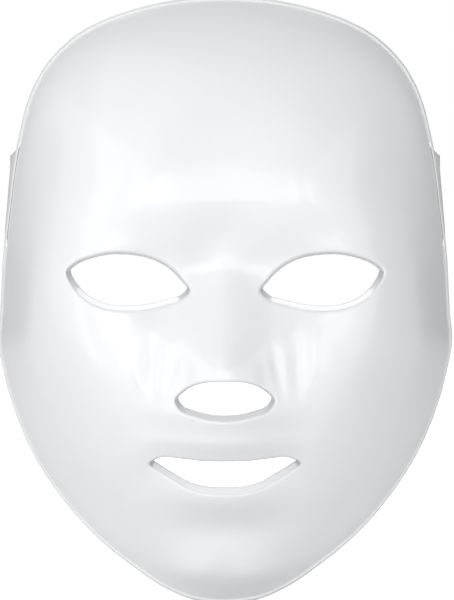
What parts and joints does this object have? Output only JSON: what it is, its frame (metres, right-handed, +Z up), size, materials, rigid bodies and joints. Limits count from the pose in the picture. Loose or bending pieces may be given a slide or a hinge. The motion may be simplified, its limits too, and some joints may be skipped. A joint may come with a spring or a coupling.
{
  "type": "led face mask",
  "caption": "Rigid white light-therapy face mask with eye, nose and mouth openings, LED boards between two shells, a control jack and an elastic head strap.",
  "frame": {"origin": "midway between the two strap slots, on the axis the strap swings about", "axes": "+Z up towards the crown, the mask's face looks along -Y, the wearer's head is on +Y, +X is the wearer's left"},
  "size_m": [0.185, 0.2041, 0.2389],
  "materials": {
    "gloss_shell": "polished white ABS",
    "inner_plastic": "satin white ABS",
    "flex_board": "white solder mask on flexible board",
    "led_epoxy": "clear epoxy lens",
    "ribbon": "polyimide ribbon",
    "chip_black": "matt",
    "silicone": "soft milky silicone",
    "screw_steel": "plated",
    "jack_plastic": "moulded",
    "jack_metal": "nickel plated",
    "wire_skin": "matt",
    "strap_elastic": "woven white elastic",
    "hook_tape": "white hook tape"
  },
  "bodies": {
    "mask": {"front_shell": "gloss_shell", "inner_shell": "inner_plastic", "board_links": "ribbon", "board_resistors": "chip_black", "nose_rest": "silicone", "shell_screws": "screw_steel", "jack_body": "jack_plastic", "jack_sleeve": "jack_metal", "jack_pins": "jack_metal", "jack_leads": "wire_skin", "strap_loop_left": "strap_elastic", "strap_loop_right": "strap_elastic", "led_board_forehead": "flex_board", "leds_forehead": "led_epoxy", "led_board_nose": "flex_board", "leds_nose": "led_epoxy", "led_board_lip": "flex_board", "leds_lip": "led_epoxy", "led_board_chin": "flex_board", "leds_chin": "led_epoxy", "led_board_cheek_left": "flex_board", "leds_cheek_left": "led_epoxy", "led_board_cheek_right": "flex_board", "leds_cheek_right": "led_epoxy"},
    "strap": {"strap_band": "strap_elastic", "strap_tab_left": "strap_elastic", "strap_tab_right": "strap_elastic", "hook_patch_left": "hook_tape", "hook_patch_right": "hook_tape"}
  },
  "joints": [
    {"name": "strap_swing", "type": "hinge", "parent": "mask", "child": "strap", "pos_m": [0, 0, 0], "axis": [1, 0, 0], "range_deg": [-40, 60]}
  ]
}
